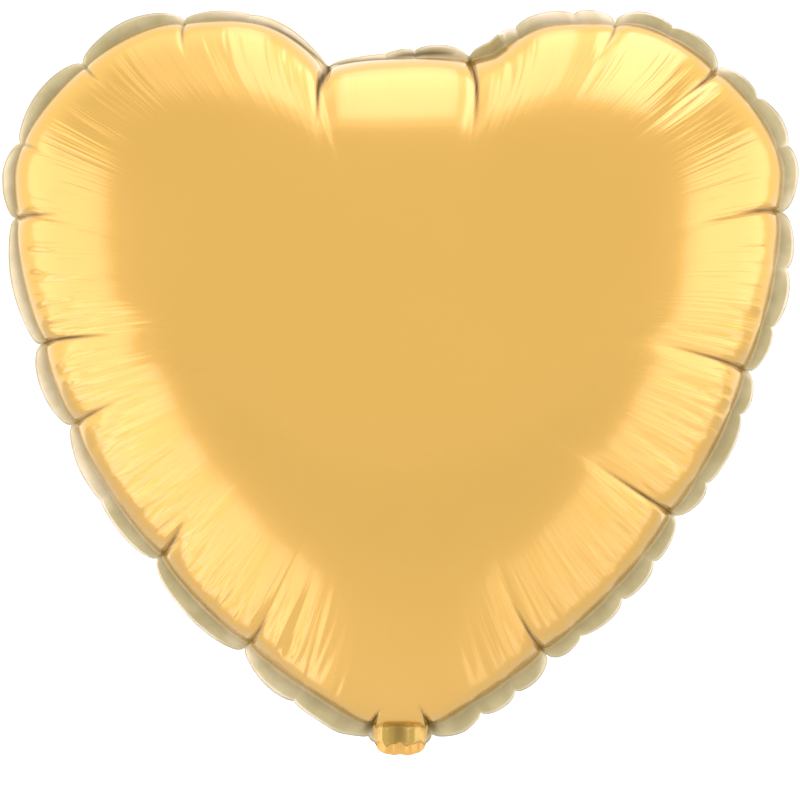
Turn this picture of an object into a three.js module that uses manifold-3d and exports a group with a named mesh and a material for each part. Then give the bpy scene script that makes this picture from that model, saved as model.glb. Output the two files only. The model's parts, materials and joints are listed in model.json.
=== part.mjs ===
// An inflated heart-shaped foil balloon, in millimetres, +Z up, with its front facing -Y.
// Two foil hearts are welded round their rims. A two-film valve runs from inside the balloon, through the neck at
// the tip of the heart, to the open end of the tail. The tail is folded up behind the balloon at the neck.
// The origin is in the middle of the neck, where a ribbon is tied.
import * as THREE from "three";
import { mergeVertices } from "three/addons/utils/BufferGeometryUtils.js";
import Module from "manifold-3d";

const wasm = await Module();
wasm.setup();

// The heart's outline, at the outer edge of the seam margin. The left half mirrors the right.
const NECK_HALF_WIDTH = 14;
const TIP_HEIGHT = 2; // of the outline's lowest point above the ribbon's tie
const HALF_WIDTH = 198.5;
const WIDEST_HEIGHT = 282;
const CREST_X = 111;
const CREST_HEIGHT = 366;
const NOTCH_HEIGHT = 345;

// The inflated foil
const HALF_DEPTH = 88;
const FILM = 0.6; // the foil's thickness as a solid
const AIR_GAP = 0.3; // between films that lie against each other
const SEAM_WIDTH = 8.5; // the welded margin outside the gas space
const PUCKER_DEPTH = 5; // how far each pucker draws the weld inwards
const DOME_CENTRE = new THREE.Vector2(0, 215);

// How finely the foil is divided
const HALF_SECTORS = 44;
const PUCKER_SECTORS = 5;
const NECK_SECTORS = 1; // from the centre line to the first pucker
const RINGS = [0.2, 0.38, 0.54, 0.67, 0.78, 0.87, 0.93, 0.97, 0.99, 1];
const RELAX_SWEEPS = 600;

// The valve's two films, and the tail that carries them out of the balloon
const VALVE_FILM = 0.4;
const VALVE_WIDTH = 25;
const VALVE_TOP = 80; // how far the valve reaches up into the balloon
const SLEEVE_TOP = 22; // where the foil lifts clear of the valve
const TAIL_WIDTH = 32;
const TAIL_MOUTH_WIDTH = 36;
const TAIL_LENGTH = 78;
const TAIL_CORNER = 6;
const SIDE_SEAM = 2.5; // the tail's welded edges
const FOLD_HEIGHT = -2; // as far below the ribbon's tie as the heart's tip is above it
const FOLD_CLEARANCE = 0.4; // between the fold's axis and the films above and below it
const FOLD_ANGLE = THREE.MathUtils.degToRad(126); // from hanging straight down to lying behind the balloon

const VALVE_FACE = AIR_GAP / 2 + VALVE_FILM; // outer face of a valve film, from the seam plane
const POCKET_FACE = VALVE_FACE + AIR_GAP; // inner face of the foil over the valve
const SLEEVE_FACE = POCKET_FACE + FILM; // outer face of the foil over the valve
const FOLD_BEHIND = SLEEVE_FACE + AIR_GAP; // the fold's axis lies along the back of the neck

const goldFoil = new THREE.MeshStandardMaterial({ color: 0xe9b75f, roughness: 0.28, metalness: 1 });
const clearFilm = new THREE.MeshStandardMaterial({ color: 0xe8ecec, roughness: 0.35, metalness: 0 });

// ---- The heart's outline ----

function halfOutline() {
  return new THREE.Path()
    .moveTo(0, 0)
    .lineTo(NECK_HALF_WIDTH, 0)
    .bezierCurveTo(127, 51, HALF_WIDTH, 169, HALF_WIDTH, WIDEST_HEIGHT)
    .bezierCurveTo(HALF_WIDTH, 316, 149, CREST_HEIGHT, CREST_X, CREST_HEIGHT)
    .bezierCurveTo(22, CREST_HEIGHT, 86, NOTCH_HEIGHT, 0, NOTCH_HEIGHT);
}

function heartOutline() {
  const right = halfOutline().getSpacedPoints(HALF_SECTORS);
  const left = right
    .slice(1, -1)
    .reverse()
    .map((p) => new THREE.Vector2(-p.x, p.y));
  return [...right, ...left];
}

// The direction into the heart at each point of a closed, anticlockwise outline.
function inwardDirections(outline) {
  const n = outline.length;
  return outline.map((_, k) => {
    const along = outline[(k + 1) % n].clone().sub(outline[(k + n - 1) % n]);
    return new THREE.Vector2(-along.y, along.x).normalize();
  });
}

// 1 at a crease between two puckers, and 0 at the crown of a pucker.
function pinchAt(sector) {
  const fromTip = sector <= HALF_SECTORS ? sector : 2 * HALF_SECTORS - sector;
  const creases = [-NECK_SECTORS];
  for (let k = NECK_SECTORS; k < HALF_SECTORS; k += PUCKER_SECTORS) creases.push(k);
  creases.push(2 * HALF_SECTORS - creases[creases.length - 1]);
  const next = creases.findIndex((k) => k > fromTip);
  const share = (fromTip - creases[next - 1]) / (creases[next] - creases[next - 1]);
  return 1 - Math.sin(Math.PI * share);
}

// ---- The dome: how high the gas lifts each point of the foil ----

// Flat points of the dome, the centre first and then each ring from the inside out.
function domePlan(weld) {
  return [DOME_CENTRE, ...RINGS.flatMap((t) => weld.map((p) => DOME_CENTRE.clone().lerp(p, t)))];
}

function domeTriangles(sectors) {
  const at = (ring, k) => 1 + ring * sectors + (k % sectors);
  const triangles = [];
  for (let k = 0; k < sectors; k++) {
    triangles.push([0, at(0, k), at(0, k + 1)]);
    for (let ring = 1; ring < RINGS.length; ring++) {
      const [a, b] = [at(ring - 1, k), at(ring - 1, k + 1)];
      const [c, d] = [at(ring, k), at(ring, k + 1)];
      triangles.push([a, c, d], [a, d, b]);
    }
  }
  return triangles;
}

// Relaxes a pressurised skin over the plan, fixed at its rim, and gives each point's lift from 0 to 1.
function skinLift(plan, triangles, sectors) {
  const links = plan.map(() => new Map());
  const load = plan.map(() => 0);
  for (const corners of triangles) {
    for (let i = 0; i < 3; i++) {
      const [a, b, c] = [corners[i], corners[(i + 1) % 3], corners[(i + 2) % 3]];
      const [ca, cb] = [plan[a].clone().sub(plan[c]), plan[b].clone().sub(plan[c])];
      const cotangent = ca.dot(cb) / ca.cross(cb) / 2;
      links[a].set(b, (links[a].get(b) ?? 0) + cotangent);
      links[b].set(a, (links[b].get(a) ?? 0) + cotangent);
      load[c] += ca.cross(cb) / 6;
    }
  }
  const lift = plan.map(() => 0);
  const free = plan.length - sectors;
  for (let sweep = 0; sweep < RELAX_SWEEPS; sweep++) {
    for (let i = 0; i < free; i++) {
      let [pull, total] = [load[i], 0];
      for (const [j, weight] of links[i]) {
        pull += weight * lift[j];
        total += weight;
      }
      lift[i] = pull / total;
    }
  }
  const highest = Math.max(...lift);
  return lift.map((x) => x / highest);
}

// A foil dome is flatter in the middle and steeper at its rim than a soap film.
function domeHeight(lift) {
  const outwards = Math.sqrt(1 - lift);
  return HALF_DEPTH * Math.sqrt(Math.max(0, 1 - outwards ** 3));
}

// ---- Solids ----

function toSolid(geometry) {
  geometry.deleteAttribute("normal");
  geometry.deleteAttribute("uv");
  const merged = mergeVertices(geometry, 1e-4);
  return new wasm.Manifold(
    new wasm.Mesh({
      numProp: 3,
      vertProperties: merged.attributes.position.array,
      triVerts: new Uint32Array(merged.index.array),
    }),
  );
}

function toGeometry(solid) {
  const mesh = solid.getMesh();
  return new THREE.BufferGeometry()
    .setAttribute("position", new THREE.BufferAttribute(mesh.vertProperties, 3))
    .setIndex(new THREE.BufferAttribute(mesh.triVerts, 1));
}

// A closed skin through rings of points, with a single point at each end.
function closedSkin(first, rings, last) {
  const sectors = rings[0].length;
  const points = [first, ...rings.flat(), last];
  const at = (ring, k) => 1 + ring * sectors + (k % sectors);
  const index = [];
  for (let k = 0; k < sectors; k++) {
    index.push(0, at(0, k), at(0, k + 1));
    index.push(points.length - 1, at(rings.length - 1, k + 1), at(rings.length - 1, k));
    for (let ring = 1; ring < rings.length; ring++) {
      const [a, b] = [at(ring - 1, k), at(ring - 1, k + 1)];
      const [c, d] = [at(ring, k), at(ring, k + 1)];
      index.push(a, c, d, a, d, b);
    }
  }
  const flat = points.flatMap((p) => [p.x, p.y, p.z]);
  return new THREE.BufferGeometry()
    .setAttribute("position", new THREE.Float32BufferAttribute(flat, 3))
    .setIndex(index);
}

// A box from x = -width / 2 to width / 2, between two distances in front of the seam plane, and between two heights.
function frontPlate(width, near, far, low, high) {
  return new THREE.BoxGeometry(width, far - near, high - low).translate(0, -(near + far) / 2, (low + high) / 2);
}

// The foil over the valve where it passes through the neck, joined to a panel's solid.
function withNeck(panel) {
  const low = FOLD_HEIGHT + FOLD_CLEARANCE;
  const sleeve = toSolid(frontPlate(TAIL_WIDTH, AIR_GAP / 2, SLEEVE_FACE, low, SLEEVE_TOP));
  const pocketTop = VALVE_TOP + AIR_GAP;
  const pocket = toSolid(frontPlate(VALVE_WIDTH + 2 * AIR_GAP, 0, POCKET_FACE, low - 1, pocketTop));
  return panel.add(sleeve).subtract(pocket);
}

// The front foil: the dome, the flat seam margin round it, and the front of the neck.
function panelGeometry() {
  const outline = heartOutline();
  const sectors = outline.length;
  const inward = inwardDirections(outline);
  const pinch = outline.map((_, k) => PUCKER_DEPTH * pinchAt(k));
  const weld = outline.map((p, k) => p.clone().addScaledVector(inward[k], SEAM_WIDTH + pinch[k]));
  const edge = outline.map((p, k) => p.clone().addScaledVector(inward[k], pinch[k] / 2));

  const plan = domePlan(weld);
  const lift = skinLift(plan, domeTriangles(sectors), sectors);
  const backFace = AIR_GAP / 2;
  const frontFace = backFace + FILM;
  const place = (flat, out) => new THREE.Vector3(flat.x, -out, flat.y + TIP_HEIGHT);
  const outside = plan.map((p, i) => place(p, frontFace + domeHeight(lift[i])));
  const inside = innerSkin(outside, sectors, weld, inward, place, backFace);

  const ringsOf = (points) => RINGS.map((_, ring) => points.slice(1 + ring * sectors, 1 + (ring + 1) * sectors));
  const margin = [edge.map((p) => place(p, frontFace)), edge.map((p) => place(p, backFace))];
  const rings = [...ringsOf(outside), ...margin, ...ringsOf(inside).reverse()];
  return toGeometry(withNeck(toSolid(closedSkin(outside[0], rings, inside[0]))));
}

// The dome's inner face: its outer face moved in by the film's thickness, with its rim flat on the seam.
function innerSkin(outside, sectors, weld, inward, place, backFace) {
  const dome = new THREE.BufferGeometry()
    .setAttribute("position", new THREE.Float32BufferAttribute(outside.flatMap((p) => p.toArray()), 3))
    .setIndex(domeTriangles(sectors).flat());
  dome.computeVertexNormals();
  const normals = dome.getAttribute("normal");
  const rimStart = outside.length - sectors;
  return outside.map((p, i) => {
    if (i >= rimStart) {
      const k = i - rimStart;
      return place(weld[k].clone().addScaledVector(inward[k], FILM), backFace);
    }
    return p.clone().addScaledVector(new THREE.Vector3().fromBufferAttribute(normals, i), -FILM);
  });
}

// ---- The tail, hanging down from the fold, where its own frame has its origin in the seam plane ----

function tailShape(topWidth, mouthWidth, corner) {
  const [top, mouth] = [topWidth / 2, mouthWidth / 2];
  const end = -TAIL_LENGTH;
  return new THREE.Shape()
    .moveTo(-top, -FOLD_CLEARANCE)
    .lineTo(-mouth, end + corner)
    .absarc(-mouth + corner, end + corner, corner, Math.PI, 1.5 * Math.PI)
    .absarc(mouth - corner, end + corner, corner, 1.5 * Math.PI, 2 * Math.PI)
    .lineTo(top, -FOLD_CLEARANCE);
}

// An outline in X and Z given a thickness between two distances in front of the seam plane.
function frontSlab(shape, near, far) {
  return new THREE.ExtrudeGeometry(shape, { depth: far - near, bevelEnabled: false, curveSegments: 5 })
    .rotateX(Math.PI / 2)
    .translate(0, -near, 0);
}

// One foil ply of the tail: a flat sheet whose two side edges stand in to meet the other ply.
function tailPly() {
  const seams = 2 * SIDE_SEAM;
  const sheet = toSolid(frontSlab(tailShape(TAIL_WIDTH, TAIL_MOUTH_WIDTH, TAIL_CORNER), AIR_GAP / 2, SLEEVE_FACE));
  const room = new THREE.Shape()
    .moveTo(-(TAIL_WIDTH - seams) / 2, 0)
    .lineTo(-(TAIL_MOUTH_WIDTH - seams) / 2, -TAIL_LENGTH - 1)
    .lineTo((TAIL_MOUTH_WIDTH - seams) / 2, -TAIL_LENGTH - 1)
    .lineTo((TAIL_WIDTH - seams) / 2, 0);
  return toGeometry(sheet.subtract(toSolid(frontSlab(room, 0, POCKET_FACE))));
}

function valveFilm(low, high) {
  return frontPlate(VALVE_WIDTH, AIR_GAP / 2, VALVE_FACE, low, high);
}

// ---- Assembly ----

// A front piece and its mirror image behind the seam plane.
function addPair(group, geometry, material, frontName, backName) {
  const front = new THREE.Mesh(geometry, material);
  front.name = frontName;
  const back = new THREE.Mesh(geometry, material);
  back.name = backName;
  back.scale.y = -1;
  group.add(front, back);
}

const balloon = new THREE.Group();
addPair(balloon, panelGeometry(), goldFoil, "front_panel", "back_panel");
const valveInside = valveFilm(FOLD_HEIGHT + FOLD_CLEARANCE, VALVE_TOP);
addPair(balloon, valveInside, clearFilm, "valve_front_film", "valve_back_film");

const tail = new THREE.Group();
addPair(tail, tailPly(), goldFoil, "tail_front_ply", "tail_back_ply");
const valveMouth = valveFilm(-TAIL_LENGTH + SIDE_SEAM, -FOLD_CLEARANCE);
addPair(tail, valveMouth, clearFilm, "valve_mouth_front_film", "valve_mouth_back_film");
tail.position.y = -FOLD_BEHIND;

const fold = new THREE.Group().add(tail);
fold.position.set(0, FOLD_BEHIND, FOLD_HEIGHT);
fold.rotation.x = FOLD_ANGLE;
balloon.add(fold);

export default balloon;
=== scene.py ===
"""A heart-shaped foil balloon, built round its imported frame."""

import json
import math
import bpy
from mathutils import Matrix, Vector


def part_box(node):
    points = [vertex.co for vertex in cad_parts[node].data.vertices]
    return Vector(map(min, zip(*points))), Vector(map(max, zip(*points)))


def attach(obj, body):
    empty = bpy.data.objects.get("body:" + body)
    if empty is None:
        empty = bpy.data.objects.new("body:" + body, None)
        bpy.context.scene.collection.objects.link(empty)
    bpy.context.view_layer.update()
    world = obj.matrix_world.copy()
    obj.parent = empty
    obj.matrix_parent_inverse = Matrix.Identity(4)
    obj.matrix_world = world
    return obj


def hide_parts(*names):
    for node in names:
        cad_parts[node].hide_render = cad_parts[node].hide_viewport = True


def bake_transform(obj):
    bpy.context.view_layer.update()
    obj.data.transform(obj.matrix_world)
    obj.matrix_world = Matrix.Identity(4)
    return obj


bl_info = {
    "name": "Heart foil balloon",
    "version": (1, 0, 0),
    "blender": (4, 5, 0),
    "location": "3D View > Sidebar > Balloon",
    "description": "Builds an inflated foil heart with a welded, puckered rim and a folded tail",
    "category": "Object",
}

import bpy
import numpy as np
from mathutils import Vector

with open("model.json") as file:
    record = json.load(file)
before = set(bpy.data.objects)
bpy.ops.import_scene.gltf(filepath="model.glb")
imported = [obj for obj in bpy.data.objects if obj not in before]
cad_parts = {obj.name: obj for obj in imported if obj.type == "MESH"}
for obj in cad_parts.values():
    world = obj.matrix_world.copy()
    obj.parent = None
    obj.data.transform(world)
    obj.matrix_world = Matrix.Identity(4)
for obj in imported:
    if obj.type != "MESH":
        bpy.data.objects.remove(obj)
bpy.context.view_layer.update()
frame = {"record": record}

FOLD = next(j for j in frame["record"]["behaviour"]["joints"] if j["name"] == "tail_fold")

MM = 0.001
SEED = 5

# ---- The heart's plan, in millimetres from the middle of the tip, X to the right and Z up ----

NECK_HALF = 14.0
TIP_HEIGHT = 2.0
HALF_WIDTH = 198.5
WIDEST = 282.0
CREST_X, CREST_Z = 111.0, 366.0
NOTCH_Z = 345.5
SIDE_CURVES = (
    ((NECK_HALF, 0), (127, 51), (HALF_WIDTH, 169), (HALF_WIDTH, WIDEST)),
    ((HALF_WIDTH, WIDEST), (HALF_WIDTH, 316), (149, CREST_Z), (CREST_X, CREST_Z)),
)
RIGHT_NOTCH = (
    ((CREST_X, CREST_Z), (75, CREST_Z), (62, 364), (44, 351.5)),
    ((44, 351.5), (36, 350), (16, 349), (0, NOTCH_Z)),
)
LEFT_NOTCH = (
    ((CREST_X, CREST_Z), (72, CREST_Z + 1), (60, 364), (36, 342)),
    ((36, 342), (28, 342), (12, 343.5), (0, NOTCH_Z)),
)
CENTRE = np.array([0.0, 218.0])

# Each long pucker: how far along the seam from the tip it starts, how far in from the weld it
# reaches as seen from the front, its depth, and how far it leans from the tip for each millimetre inwards
RIGHT_PUCKERS = (
    (17, 19, 1.3, -0.35),
    (88, 56, 1.0, -0.05),
    (185, 80, 1.1, -0.07),
    (268, 70, 1.0, 0.03),
    (352, 44, 1.0, 0.0),
    (441, 42, 1.0, 0.05),
    (503, 26, 0.7, 0.17),
    (580, 68, 1.15, -0.09),
)
LEFT_PUCKERS = (
    (17, 17, 1.3, -0.3),
    (94, 34, 0.9, 0.0),
    (158, 38, 1.0, 0.2),
    (239, 42, 0.9, 0.05),
    (283, 62, 1.1, -0.08),
    (349, 40, 0.9, 0.1),
    (389, 18, 0.5, 0.0),
    (442, 20, 0.7, 0.0),
    (502, 24, 0.7, -0.25),
    (582, 62, 1.2, -0.15),
)
LONG_PUCKER = 30.0  # one that divides two pillows
SHORT_SPAN_RIGHT = 27.0
SHORT_SPAN_LEFT = 45.0

# How much of the margin's width faces the front, by distance along the seam from the tip. Past 1
# the weld runs further in than the margin is wide.
MARGIN_SHOWN_RIGHT = (
    (0, 0.12), (11, 0.12), (17, 0.9), (100, 1), (350, 0.95), (440, 0.9), (505, 0.9),
    (555, 0.6), (562, 0.6), (569, 1.8), (574, 1.8), (579, 0.7), (594, 0.88), (606, 0.85), (616, 0.4),
)
MARGIN_SHOWN_LEFT = (
    (0, 0.12), (11, 0.12), (17, 0.9), (160, 1), (240, 0.75), (285, 0.8), (350, 0.55),
    (440, 0.85), (505, 0.85), (535, 0.5), (583, 0.4), (600, 0.12), (612, 0.12),
)

# Folds that run along the seam, as a shallow furrow and painted shade: place from the tip, half the length,
# inset, half the width, depth
RIGHT_SLITS = ((603, 17, -3.4, 2.0, 0.9),)
LEFT_SLITS = ((560, 21, -1.2, 1.1, 1.0),)

# How finely the foil is divided
SECTORS = 1400
COARSE_SECTORS = 160
COARSE_RINGS = 1 - np.linspace(0, 0.95, 17)[::-1] ** 1.6
FIRST_STEP = 1.3
STEP_GROWTH = 1.045
LONGEST_STEP = 6.0
LINE_REACH = 34.0  # how far a line into the panel keeps square to the seam
MARGIN_RINGS = 5
MEAN_ARC = 0.78  # of a round arc over its span
STRIP_COLUMNS = 61

# The margin
LEAST_SHOWN = 0.3  # share of it that is kept as a ledge beside the weld
NARROW, WIDE = 0.45, 1.17  # its width at a pucker and between two, over its mean width
TIP_FRILL = ((18, 35), (75, 105), 0.4)  # where it is wider beside the tip, and by how much

# The neck
NECK_SHARE = 0.015  # of the seam's length, on each side of the tip
NECK_SPAN = (10, 17)  # where the neck ends, along the seam from the tip
NECK_FOLDS = (  # middle and width over half the neck's width, and height
    (-0.62, 0.16, 1.5),
    (-0.2, 0.1, 0.7),
    (0.42, 0.2, 1.9),
    (0.8, 0.08, 0.7),
)
GATHER_WIDTH = 5.0  # of the painted shade of the fold in the middle of the neck
CORNER = (18, 4, 0.85)  # painted shade of a fold beside the neck: place along the seam, half its width, depth

# The tail and the valve
TAIL_TOP = 12.0  # where the tail's foil starts, inside the neck
NECK_WIDTH = 27.0  # of the gathered foil at the neck
THROAT_WIDTH = 24.0  # and at the fold
TAIL_FLARE = 4.0
VALVE_WIDTH = 25.0
VALVE_TOP = 80.0
VALVE_SHORT_OF_END = 2.5  # how far inside the tail's open end the valve stops

# The stage, in metres
FLOOR_HEIGHT = -1.5
FLOOR_SIZE = 16.0
VIEW_SIDE = -0.0003
VIEW_HEIGHT = 0.173
VIEW_WIDTH = 0.4
LENS = 250  # millimetres
SENSOR = 36
BEHIND = 0.75  # how far back a direction points where the backdrop is at its brightest
# Soft boxes that face the balloon's middle from round its edge: angle up from the right, distance,
# width round the balloon, depth, place behind the seam, and brightness
FAR_BOXES = (
    ("box_right", 10, 1.3, 1.0, 1.6, -0.1, 0.72),
    ("box_left", 170, 1.3, 1.0, 1.5, -0.1, 0.64),
    ("box_above", 90, 1.3, 1.6, 1.5, 0.15, 0.28),
    *((f"strip_right_{i}", -18 - 13 * i, 1.3, 0.2, 1.75, -0.1, 0.80 - 0.17 * i) for i in range(4)),
    *((f"strip_left_{i}", 198 + 13 * i, 1.3, 0.2, 2.05, -0.1, 1.1 - 0.13 * i) for i in range(4)),
)
NEAR_BOXES = (
    ("box_notch", 90, 0.7, 0.18, 0.8, 0.17, 0.7),
    ("box_slope", 64, 0.7, 0.3, 0.8, 0.06, 1.0),
)


def curve_points(p0, p1, p2, p3, count=120):
    """Points on a cubic Bezier curve."""
    t = np.linspace(0, 1, count)[:, None]
    p0, p1, p2, p3 = (np.array(p, float) for p in (p0, p1, p2, p3))
    return (1 - t) ** 3 * p0 + 3 * (1 - t) ** 2 * t * p1 + 3 * (1 - t) * t * t * p2 + t**3 * p3


def heart_outline(count):
    """The outer edge of the seam margin, anticlockwise from the middle of the tip, evenly spaced."""
    right = [curve_points(*c) for c in SIDE_CURVES + RIGHT_NOTCH]
    left = [curve_points(*c)[::-1] * [-1, 1] for c in (SIDE_CURVES + LEFT_NOTCH)[::-1]]
    path = np.vstack([[[0.0, 0.0]], *right, *left, [[0.0, 0.0]]])
    along = np.concatenate([[0], np.cumsum(np.linalg.norm(np.diff(path, axis=0), axis=1))])
    places = np.arange(count) / count * along[-1]
    return np.stack([np.interp(places, along, path[:, i]) for i in range(2)], axis=1)


def ring_normals(ring):
    """Directions into a closed anticlockwise ring."""
    along = np.roll(ring, -1, 0) - np.roll(ring, 1, 0)
    inward = np.stack([-along[:, 1], along[:, 0]], 1)
    return inward / np.linalg.norm(inward, axis=1, keepdims=True)


def smooth_ring(values, width):
    """A closed ring of values, averaged over a Gaussian of that width in sectors."""
    reach = int(3 * width)
    weights = np.exp(-0.5 * (np.arange(-reach, reach + 1) / width) ** 2)
    weights /= weights.sum()
    return sum(w * np.roll(values, i - reach, 0) for i, w in enumerate(weights))


def ramp(x, low, high):
    """0 below low and 1 above high, smooth between."""
    t = np.clip((x - low) / (high - low), 0, 1)
    return t * t * (3 - 2 * t)


def seam_places(outline):
    """Distance of each sector along the seam from the tip, and the whole seam's length."""
    steps = np.linalg.norm(np.roll(outline, -1, 0) - outline, axis=1)
    return np.concatenate([[0], np.cumsum(steps)[:-1]]), steps.sum()


def margin_shown(outline):
    """How much of the margin's width faces the front, for each sector."""
    seam, length = seam_places(outline)
    left = [(length - place, share) for place, share in MARGIN_SHOWN_LEFT[::-1]]
    places, shares = zip(*MARGIN_SHOWN_RIGHT, *left)
    return smooth_ring(np.interp(seam, places, shares), len(outline) * 0.004)


def weld_ring(outline, seam_width):
    """The weld inside the margin, and the directions into the heart along it."""
    count = len(outline)
    inward = smooth_ring(ring_normals(outline), count * 0.006)
    shown = smooth_ring(np.maximum(margin_shown(outline), LEAST_SHOWN), count * 0.01)
    at_neck = np.abs(np.arange(count) / count - 0.5) > 0.5 - NECK_SHARE
    shown = smooth_ring(np.where(at_neck, 1, shown), count * 0.006)
    weld = outline + inward * (seam_width * shown)[:, None]
    return weld, smooth_ring(inward, count * 0.02)


def plan_points(weld, inward, shares):
    """Plan of the dome: each line leaves the weld at a right angle and bends to the centre."""
    bend = weld + inward * LINE_REACH
    t = np.asarray(shares)[:, None, None]
    return t * t * weld + 2 * t * (1 - t) * bend + (1 - t) ** 2 * CENTRE


def skin_lift(plan):
    """Lift, from 0 to 1, of a pressurised skin fixed at the last ring of the plan."""
    rings, sectors = plan.shape[:2]
    points = np.vstack([CENTRE[None], plan.reshape(-1, 2)])
    k = np.arange(sectors)

    def at(ring, sector):
        return 1 + ring * sectors + sector % sectors

    triangles = [np.stack([np.zeros(sectors, int), at(0, k), at(0, k + 1)], 1)]
    for i in range(1, rings):
        a, b, c, d = at(i - 1, k), at(i - 1, k + 1), at(i, k), at(i, k + 1)
        triangles += [np.stack([a, c, d], 1), np.stack([a, d, b], 1)]
    triangles = np.vstack(triangles)
    rows, cols, pulls = [], [], []
    load = np.zeros(len(points))
    for i in range(3):
        a, b, c = (triangles[:, (i + j) % 3] for j in range(3))
        ca, cb = points[a] - points[c], points[b] - points[c]
        cross = ca[:, 0] * cb[:, 1] - ca[:, 1] * cb[:, 0]
        pull = (ca * cb).sum(1) / cross / 2
        rows += [a, b]
        cols += [b, a]
        pulls += [pull, pull]
        np.add.at(load, c, cross / 6)
    rows, cols, pulls = (np.concatenate(x) for x in (rows, cols, pulls))
    total = np.bincount(rows, pulls, len(points))
    free = np.ones(len(points), bool)
    free[-sectors:] = False

    def balance(x):
        return np.where(free, total * x - np.bincount(rows, pulls * x[cols], len(points)), 0)

    lift = np.zeros(len(points))
    rest = np.where(free, load, 0.0)
    step, size = rest.copy(), rest @ rest
    first = size
    while size > 1e-12 * first:
        moved = balance(step)
        share = size / (step @ moved)
        lift += share * step
        rest -= share * moved
        new_size = rest @ rest
        step = rest + new_size / size * step
        size = new_size
    lift /= lift.max()
    return np.vstack([np.full((1, sectors), lift[0]), lift[1:].reshape(rings, sectors)])


def dome(half_depth, seam_width):
    """The smooth dome without puckers.

    Returns its points (rings, sectors, 3) from the weld inwards, the distance of each point from
    the weld along the film, and the directions out of the film.
    """
    plan = plan_points(*weld_ring(heart_outline(COARSE_SECTORS), seam_width), COARSE_RINGS)
    sides = np.sqrt(np.maximum(0, 1 - skin_lift(plan)))
    squares = half_depth**2 * (1 - sides**3)  # a square grows evenly from the weld
    shares = np.concatenate([[0.0], COARSE_RINGS])

    outline = heart_outline(SECTORS)
    weld, inward = weld_ring(outline, seam_width)
    fine = 1 - np.linspace(0, 1, 500) ** 1.7
    path = plan_points(weld, inward, fine)
    place = np.arange(SECTORS) * COARSE_SECTORS / SECTORS
    low, part = place.astype(int), place % 1
    columns = squares[:, low] * (1 - part) + squares[:, (low + 1) % COARSE_SECTORS] * part
    height = np.stack([np.interp(fine, shares, columns[:, k]) for k in range(SECTORS)], 1)
    height = np.sqrt(np.maximum(0, height))
    points = np.stack([path[..., 0], -height, path[..., 1]], -1)
    steps = np.linalg.norm(np.diff(points, axis=0), axis=2)
    along = np.vstack([np.zeros((1, SECTORS)), np.cumsum(steps, axis=0)])

    marks, step = [0.0], FIRST_STEP
    longest = along[-1].mean()
    while marks[-1] + step < longest * 0.985:
        marks.append(marks[-1] + step)
        step = min(step * STEP_GROWTH, LONGEST_STEP)
    share = np.array(marks) / longest
    chosen = np.empty((len(share), SECTORS, 3))
    away = np.empty((len(share), SECTORS))
    for k in range(SECTORS):
        away[:, k] = share * along[-1, k]
        for i in range(3):
            chosen[:, k, i] = np.interp(away[:, k], along[:, k], points[:, k, i])
    return chosen, away, film_normals(chosen), outline, inward


def film_normals(points):
    """Directions out of the front film at each point of its grid."""
    down = np.gradient(points, axis=0)
    round_ = np.roll(points, -1, 1) - np.roll(points, 1, 1)
    normal = np.cross(down, round_)
    normal /= np.linalg.norm(normal, axis=2, keepdims=True)
    return normal * np.where(normal[..., 1:2].mean() > 0, -1, 1)


# ---- Puckers, scallops and wrinkles ----

RELIEFS = ("pillow", "scallop", "pucker", "wrinkle")
PILLOW_REACH = 66.0  # how far in from the weld the pillows fade, along the film
SCALLOP_REACH = 9.0
CREASE_WIDTH, CREASE_SPREAD = 1.3, 0.05  # at the weld, and more for each millimetre inwards
VALLEY_WIDTH = 8.0  # of the soft valley round a crease
DARK_LINE = 0.85  # half the width of the painted shade line at a crease's bottom
SOFT_FOLDS = 90
FINE_WRINKLES = 900


def along_seam(heart, place):
    """Signed distance of each sector from a place on the seam, the short way round."""
    length = heart["seam_length"]
    return (heart["seam"] - place + length / 2) % length - length / 2


def hump(share):
    """A round arc: 0 at whole numbers, where it meets the next in a sharp valley, and 1 half way."""
    return np.sqrt(np.maximum(0, 1 - (2 * (share % 1) - 1) ** 2))


def shares_between(heart, places):
    """How far along each sector is from one place on the seam, 0, to the next, 1."""
    places = np.array([places[-1] - heart["seam_length"], *places, places[0] + heart["seam_length"]])
    upper = np.searchsorted(places, heart["seam"], side="right")
    return (heart["seam"] - places[upper - 1]) / (places[upper] - places[upper - 1])


def short_puckers(heart, rng):
    """Places of all puckers, with short ones unevenly spaced between the long ones."""
    ends = [pucker[0] for pucker in heart["puckers"]]
    places = []
    for start, end in zip(ends, ends[1:] + [ends[0] + heart["seam_length"]]):
        span = SHORT_SPAN_RIGHT if start < heart["seam_length"] / 2 else SHORT_SPAN_LEFT
        count = max(1, round((end - start) / span))
        cuts = (np.arange(count) + rng.uniform(-0.22, 0.22, count)) / count
        cuts[0] = 0
        places += list(start + cuts * (end - start))
    return sorted(place % heart["seam_length"] for place in places)


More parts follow.
